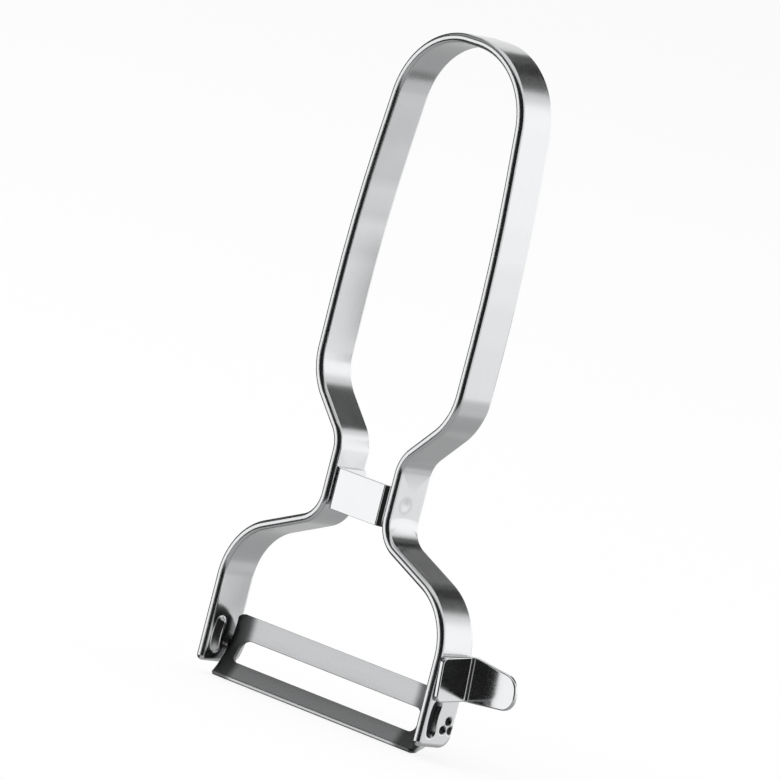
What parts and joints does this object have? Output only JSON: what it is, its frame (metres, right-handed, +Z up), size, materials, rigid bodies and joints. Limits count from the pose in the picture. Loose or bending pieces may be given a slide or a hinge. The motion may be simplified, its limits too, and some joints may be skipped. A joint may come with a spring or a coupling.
{
  "type": "vegetable peeler",
  "caption": "Peeler of bent steel strip: looped handle, welded waist bridge, slotted blade swivelling between two legs, and an eye remover on one leg.",
  "frame": {"origin": "middle of the inside of the loop's top, where a hook bears when the peeler hangs", "axes": "+X to the peeler's right, where the eye remover is; +Y from its front to its back; +Z up along the handle"},
  "size_m": [0.0748, 0.0099, 0.133],
  "materials": {
    "handle_steel": "polished stainless strip with a fine lengthwise satin grain",
    "bridge_steel": "bright rolled stainless sheet",
    "eye_remover_steel": "mirror polished stainless sheet",
    "blade_steel": "hardened stainless, satin, with a ground edge",
    "pin_steel": "turned stainless, staked end"
  },
  "bodies": {
    "frame": {"handle_strip": "handle_steel", "waist_bridge": "bridge_steel", "eye_remover": "eye_remover_steel", "pivot_pin_left": "pin_steel", "pivot_pin_right": "pin_steel"},
    "blade": {"swivel_blade": "blade_steel"}
  },
  "joints": [
    {"name": "blade_swivel", "type": "hinge", "parent": "frame", "child": "blade", "pos_m": [0, 0.0024, -0.12485], "axis": [1, 0, 0], "range_deg": [-16, 25]}
  ]
}
